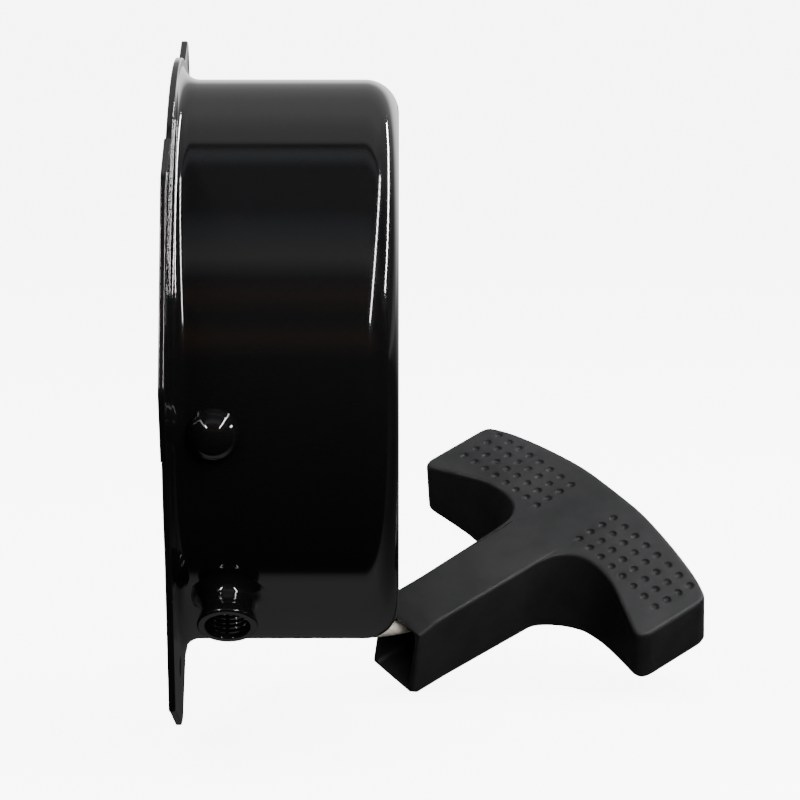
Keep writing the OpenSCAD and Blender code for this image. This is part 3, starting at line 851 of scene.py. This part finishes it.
def winding_path():
    """The rope on the reel: out of the drum, three wraps, and off down the back."""
    climb, tuck, turns, samples = 0.16, 0.03, 2 + (360 + KNOT_ANGLE) / 360, 640
    points = []
    for r in (36.5, 38.5):
        a = math.radians(KNOT_ANGLE - 1)
        points.append(Vector((GROOVE_X - 0.8, r * math.cos(a), r * math.sin(a))))
    for i in range(samples + 1):
        turned = turns * i / samples
        whole = math.floor(turned + 1e-9)
        part = turned - whole
        layer = min(whole, 2) + (step((part - 1 + climb) / climb) if whole < 2 else 0)
        r = WRAP_R0 + WRAP_PITCH * layer
        r -= ROPE_R * max(0.0, 1 - turned / tuck)
        a = math.radians(KNOT_ANGLE + 360) - TAU * turned
        points.append(Vector((GROOVE_X, r * math.cos(a), r * math.sin(a))))
    return resample(points, 0.5)


def build_ropes():
    """The rope in three pieces: on the reel, in the outlet, and out to the handle."""
    wound = braided_tube("wound_rope", winding_path(), ROPE_R, 20)
    place(wound, "reel", "rope_windings")
    low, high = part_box("rope_run")
    x, y = (low[0] + high[0]) / 2 / MM, (low[1] + high[1]) / 2 / MM
    run_top = -1.5
    run_path = resample([Vector((x, y, run_top)), Vector((x, y, low[2] / MM))], 0.4)
    run = braided_tube("inner_run", run_path, ROPE_R, 28)
    place(run, "housing", "rope_run")
    path = smooth_path(LEAD_ROUTE, 0.3)
    lead = braided_tube("rope_to_handle", path, ROPE_R, 40)
    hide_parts("rope_lead")
    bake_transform(lead)


def knot(name, node, body, turn, size):
    """An overhand knot as a short trefoil of the same braided rope."""
    low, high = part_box(node)
    centre = Vector([(a + b) / 2 / MM for a, b in zip(low, high)])
    path, steps, sides, strands = [], 96, 16, 6
    for i in range(steps):
        t = TAU * i / steps
        p = Vector((math.sin(t) + 2 * math.sin(2 * t), math.cos(t) - 2 * math.cos(2 * t),
                    -1.4 * math.sin(3 * t))) * size
        path.append(centre + turn @ p)
    rows = []
    for i, p in enumerate(path):
        way = (path[(i + 1) % steps] - path[i - 1]).normalized()
        side = way.cross((p - centre).normalized()).normalized()
        other = way.cross(side)
        row = []
        for j in range(sides):
            a = TAU * j / sides
            r = 0.98 * size * (1.5 + 0.14 * braid_height(j / sides, i / 3, strands))
            row.append(tuple(p + r * (math.cos(a) * side + math.sin(a) * other)))
        rows.append(row)
    verts, faces = strips(rows, close_rows=True)
    obj = mesh_object(name, verts, faces, ROPE, 180)
    place(obj, body, node)


# ---------------------------------------------------------------- springs

def build_spring():
    """Clock spring: many close turns from the post's slot to the drum."""
    low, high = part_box("recoil_spring")
    x0, x1 = low[0] / MM, high[0] / MM
    turns, steps, thick, r0, r1, spread = 13, 72, 0.45, 7.6, 33.2, 1.1
    slot_in = 2.6
    inner, outer = [], []
    for i in range(turns * steps + 1):
        a = math.pi / 2 + TAU * i / steps
        r = r0 + (r1 - r0) * (i / (turns * steps)) ** spread
        for rad, out in ((r, inner), (r + thick, outer)):
            out.append((rad * math.cos(a), rad * math.sin(a)))
    inner = [(-thick / 2, slot_in), (-thick / 2, r0 - 1.2)] + inner
    outer = [(thick / 2, slot_in), (thick / 2, r0 - 1.0)] + outer
    rows = []
    for p, q in zip(inner, outer):
        rows.append([(x0, *p), (x0, *q), (x1, *q), (x1, *p)])
    verts, faces = strips(rows)
    faces.append((0, 1, 2, 3))
    n = len(verts)
    faces.append((n - 1, n - 2, n - 3, n - 4))
    spring = mesh_object("clock_spring", verts, faces, SPRING_STEEL, 35)
    place(spring, "housing", "recoil_spring")


def build_pawl_spring(letter, sign):
    """Torsion spring round the pivot: three coils and one bent leg."""
    low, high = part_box("pawl_spring_" + letter)
    centre = Vector((0, sign * PAWL_PIVOT_R, 0))
    x0, x1 = low[0] / MM + 0.35, high[0] / MM - 0.35
    coil_r, wire, turns, steps, sides = 3.9, 0.36, 3, 28, 10
    points = [Vector((x0, 6.6, -2.4)), Vector((x0, 4.9, -2.0))]
    for i in range(turns * steps + 1):
        t = i / steps
        a = -TAU * t - 0.5
        points.append(Vector((x0 + (x1 - x0) * t / turns, coil_r * math.cos(a), coil_r * math.sin(a))))
    path = resample([centre + Vector((p[0], sign * p[1], sign * p[2])) for p in points], 0.35)
    rows = []
    for i, p in enumerate(path):
        way = (path[min(i + 1, len(path) - 1)] - path[max(i - 1, 0)]).normalized()
        side = way.cross(Vector((1, 0, 0.01))).normalized()
        other = way.cross(side)
        turns_round = [TAU * j / sides for j in range(sides)]
        rows.append([tuple(p + wire * (math.cos(a) * side + math.sin(a) * other)) for a in turns_round])
    verts, faces = strips(rows)
    faces.append(tuple(range(sides)))
    faces.append(tuple(len(verts) - sides + j for j in reversed(range(sides))))
    obj = mesh_object("torsion_spring_" + letter, verts, faces, SPRING_STEEL, 180)
    place(obj, "reel", "pawl_spring_" + letter)


# ---------------------------------------------------------------- CAD nodes that stay

NODE_FINISH = {
    "rope_spout": (ENAMEL, 0.35), "rope_eyelet": (LINER, 0.3), "reel_post": (ZINC, 0.25),
    "rope_reel": (REEL_PLASTIC, 0.35), "reel_bush": (BRONZE, 0.2), "spring_cover": (ZINC, 0.15),
    "pawl_a": (PAWL_STEEL, 0.3), "pawl_b": (PAWL_STEEL, 0.3), "pawl_pin_a": (ZINC, 0.15),
    "pawl_pin_b": (ZINC, 0.15), "ratchet_guide": (GUIDE_PLASTIC, 0.3), "thrust_washer": (ZINC, 0.1),
    "friction_spring": (SPRING_STEEL, 0.08), "centre_screw": (ZINC, 0.35), "knot_retainer": (ZINC, 0.15),
}


def finish_nodes():
    """Gives each CAD node that stays its material and softened edges."""
    for name, (material, width) in NODE_FINISH.items():
        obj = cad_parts[name]
        for holder in obj.material_slots:
            holder.link = "OBJECT"
            holder.material = material
        weld = obj.modifiers.new("weld", "WELD")
        weld.merge_threshold = 1e-6
        bevel(obj, width, 2, 30)
        smooth = obj.modifiers.new("normals", "WEIGHTED_NORMAL")
        smooth.keep_sharp = True


# ---------------------------------------------------------------- studio

def build_world():
    """A studio painted round the X axis in bands, and dimmer towards both ends of that axis."""
    world = bpy.data.worlds.new("tent")
    world.use_nodes = True
    tree = world.node_tree
    background = tree.nodes["Background"]
    coords = tree.nodes.new("ShaderNodeTexCoord")
    split = tree.nodes.new("ShaderNodeSeparateXYZ")
    tree.links.new(coords.outputs["Generated"], split.inputs["Vector"])
    flipped = math_node(tree, "MULTIPLY", split.outputs["Y"], -1)
    angle = math_node(tree, "ARCTAN2", split.outputs["Z"], flipped)
    ramp = tree.nodes.new("ShaderNodeValToRGB")
    tree.links.new(remap(tree, angle, 0, 1, -math.pi, math.pi), ramp.inputs["Fac"])
    stops = ramp.color_ramp
    stops.interpolation = "LINEAR"
    warm, cool, plain = (1.0, 0.6, 0.4), (0.9, 0.98, 1.1), (1.0, 1.0, 1.0)
    # Angle about X in degrees, brightness and tint
    bands = [(-180, 0.5, plain), (-172, 0.03, plain), (-160, 0.025, plain), (-140, 0.045, plain),
             (-120, 0.08, plain), (-98, 0.14, plain), (-94, 0.12, plain), (-91, 0.008, plain),
             (-85, 0.004, plain), (5, 0.004, plain), (14, 0.06, warm), (22, 0.012, plain),
             (31, 0.06, warm), (38, 0.03, plain), (47, 0.17, plain), (60, 0.1, cool), (68, 0.03, cool),
             (90, 0.02, cool), (96, 0.14, cool), (99, 0.12, cool), (101, 0.012, plain),
             (103, 0.012, plain), (104.5, 0.2, plain), (112, 0.19, plain), (125, 0.215, plain),
             (138, 0.17, plain), (150, 0.18, plain), (160, 0.24, plain), (170, 1.0, plain)]
    while len(stops.elements) < len(bands):
        stops.elements.new(0.5)
    for element, (degrees, value, tint) in zip(stops.elements, bands):
        element.position = (degrees + 180) / 360
        element.color = (*(value * part for part in tint), 1)
    tree.links.new(ramp.outputs["Color"], background.inputs["Color"])
    sideways = math_node(tree, "ABSOLUTE", split.outputs["X"])
    tree.links.new(remap(tree, sideways, 1.3, 0.28, 0.4, 0.8), background.inputs["Strength"])
    bpy.context.scene.world = world


def emitter(name, strength):
    """A plain white glow."""
    mat = bpy.data.materials.new(name)
    mat.use_nodes = True
    tree = mat.node_tree
    tree.nodes.clear()
    glow = tree.nodes.new("ShaderNodeEmission")
    glow.inputs["Color"].default_value = (1, 1, 1, 1)
    glow.inputs["Strength"].default_value = strength
    out = tree.nodes.new("ShaderNodeOutputMaterial")
    tree.links.new(glow.outputs["Emission"], out.inputs["Surface"])
    return mat


def build_led_strip(name, start, end, count, strength):
    """A row of small lamps from one point to another, in millimetres."""
    lamp_r, sides, verts, faces = 20.0, 8, [], []
    start, end = Vector(start), Vector(end)
    facing = -(start + end).normalized()
    side = facing.orthogonal().normalized()
    other = facing.cross(side)
    for i in range(count):
        centre = start.lerp(end, i / (count - 1))
        base = len(verts)
        for j in range(sides):
            a = TAU * j / sides
            verts.append(tuple(centre + lamp_r * (math.cos(a) * side + math.sin(a) * other)))
        faces.append(tuple(base + j for j in range(sides)))
    strip = mesh_object(name, verts, faces, emitter(name + "_glow", strength))
    strip.visible_camera = False
    strip.visible_shadow = False


def area_light(name, location, target, size, power):
    """A square soft light that shines on a target and leaves no reflection of itself."""
    data = bpy.data.lights.new(name, "AREA")
    data.shape = "RECTANGLE"
    data.size = size
    data.size_y = size
    data.energy = power
    obj = link(bpy.data.objects.new(name, data))
    obj.location = location
    obj.rotation_euler = (Vector(target) - Vector(location)).to_track_quat("-Z", "Y").to_euler()
    obj.visible_glossy = False
    return obj


def build_stage():
    """The sky, a bright floor just under the part, three rows of lamps and four soft lights."""
    build_world()
    size = 60000
    gap = 0.0003
    white = new_material("floor_white", (0.9, 0.9, 0.9), roughness=0.9, Specular_IOR_Level=0.0,
                         Emission_Color=(1, 1, 1, 1), Emission_Strength=7.0)[0]
    floor = mesh_object("floor", [(-size, -size, 0), (size, -size, 0), (size, size, 0), (-size, size, 0)],
                        [(0, 1, 2, 3)], white)
    floor.location.z = FLOOR_Z - gap
    floor.visible_glossy = False
    floor.visible_diffuse = False
    build_led_strip("lamps_side", (1000, -210, 346), (803, 1060, 780), 28, 110)
    build_led_strip("lamps_left", (-420, -1100, 420), (-420, 50, 620), 26, 60)
    build_led_strip("lamps_right", (520, -1100, 420), (520, 50, 620), 26, 60)
    area_light("top_soft", (0.1, 0.3, 1.4), (0.07, 0, -0.05), 1.6, 22)
    area_light("front_soft", (0.5, -1.6, 1.0), (0.1, 0, -0.05), 1.0, 10)
    area_light("left_soft", (-1.3, -0.3, 0.7), (0.07, 0, -0.05), 1.0, 8)
    area_light("low_fill", (0.5, -1.2, 0.15), (0.1, 0, -0.08), 0.8, 5)


def build_camera():
    """Square on to the cup's wall, six degrees above it, from 1.24 m."""
    data = bpy.data.cameras.new("camera")
    data.lens = 188.5
    data.sensor_width = 36
    data.clip_end = 200
    camera = link(bpy.data.objects.new("camera", data))
    camera.location = (0.0658, -1.2335, 0.1175)
    target = Vector((0.0658, -0.0013, -0.0120))
    camera.rotation_euler = (target - camera.location).to_track_quat("-Z", "Y").to_euler()
    bpy.context.scene.camera = camera


# ---------------------------------------------------------------- build everything

build_camera()
build_housing()
build_side_spout()
build_dome()
build_handle()
build_cap()
build_ropes()
knot("handle_knot_rope", "handle_knot", "handle", HANDLE_TURN @ Matrix.Rotation(math.pi / 2, 3, "Y"), 1.0)
knot("reel_knot_rope", "reel_knot", "reel", Matrix.Rotation(math.pi / 2, 3, "Y"), 0.78)
build_spring()
build_pawl_spring("a", 1)
build_pawl_spring("b", -1)
finish_nodes()
build_stage()
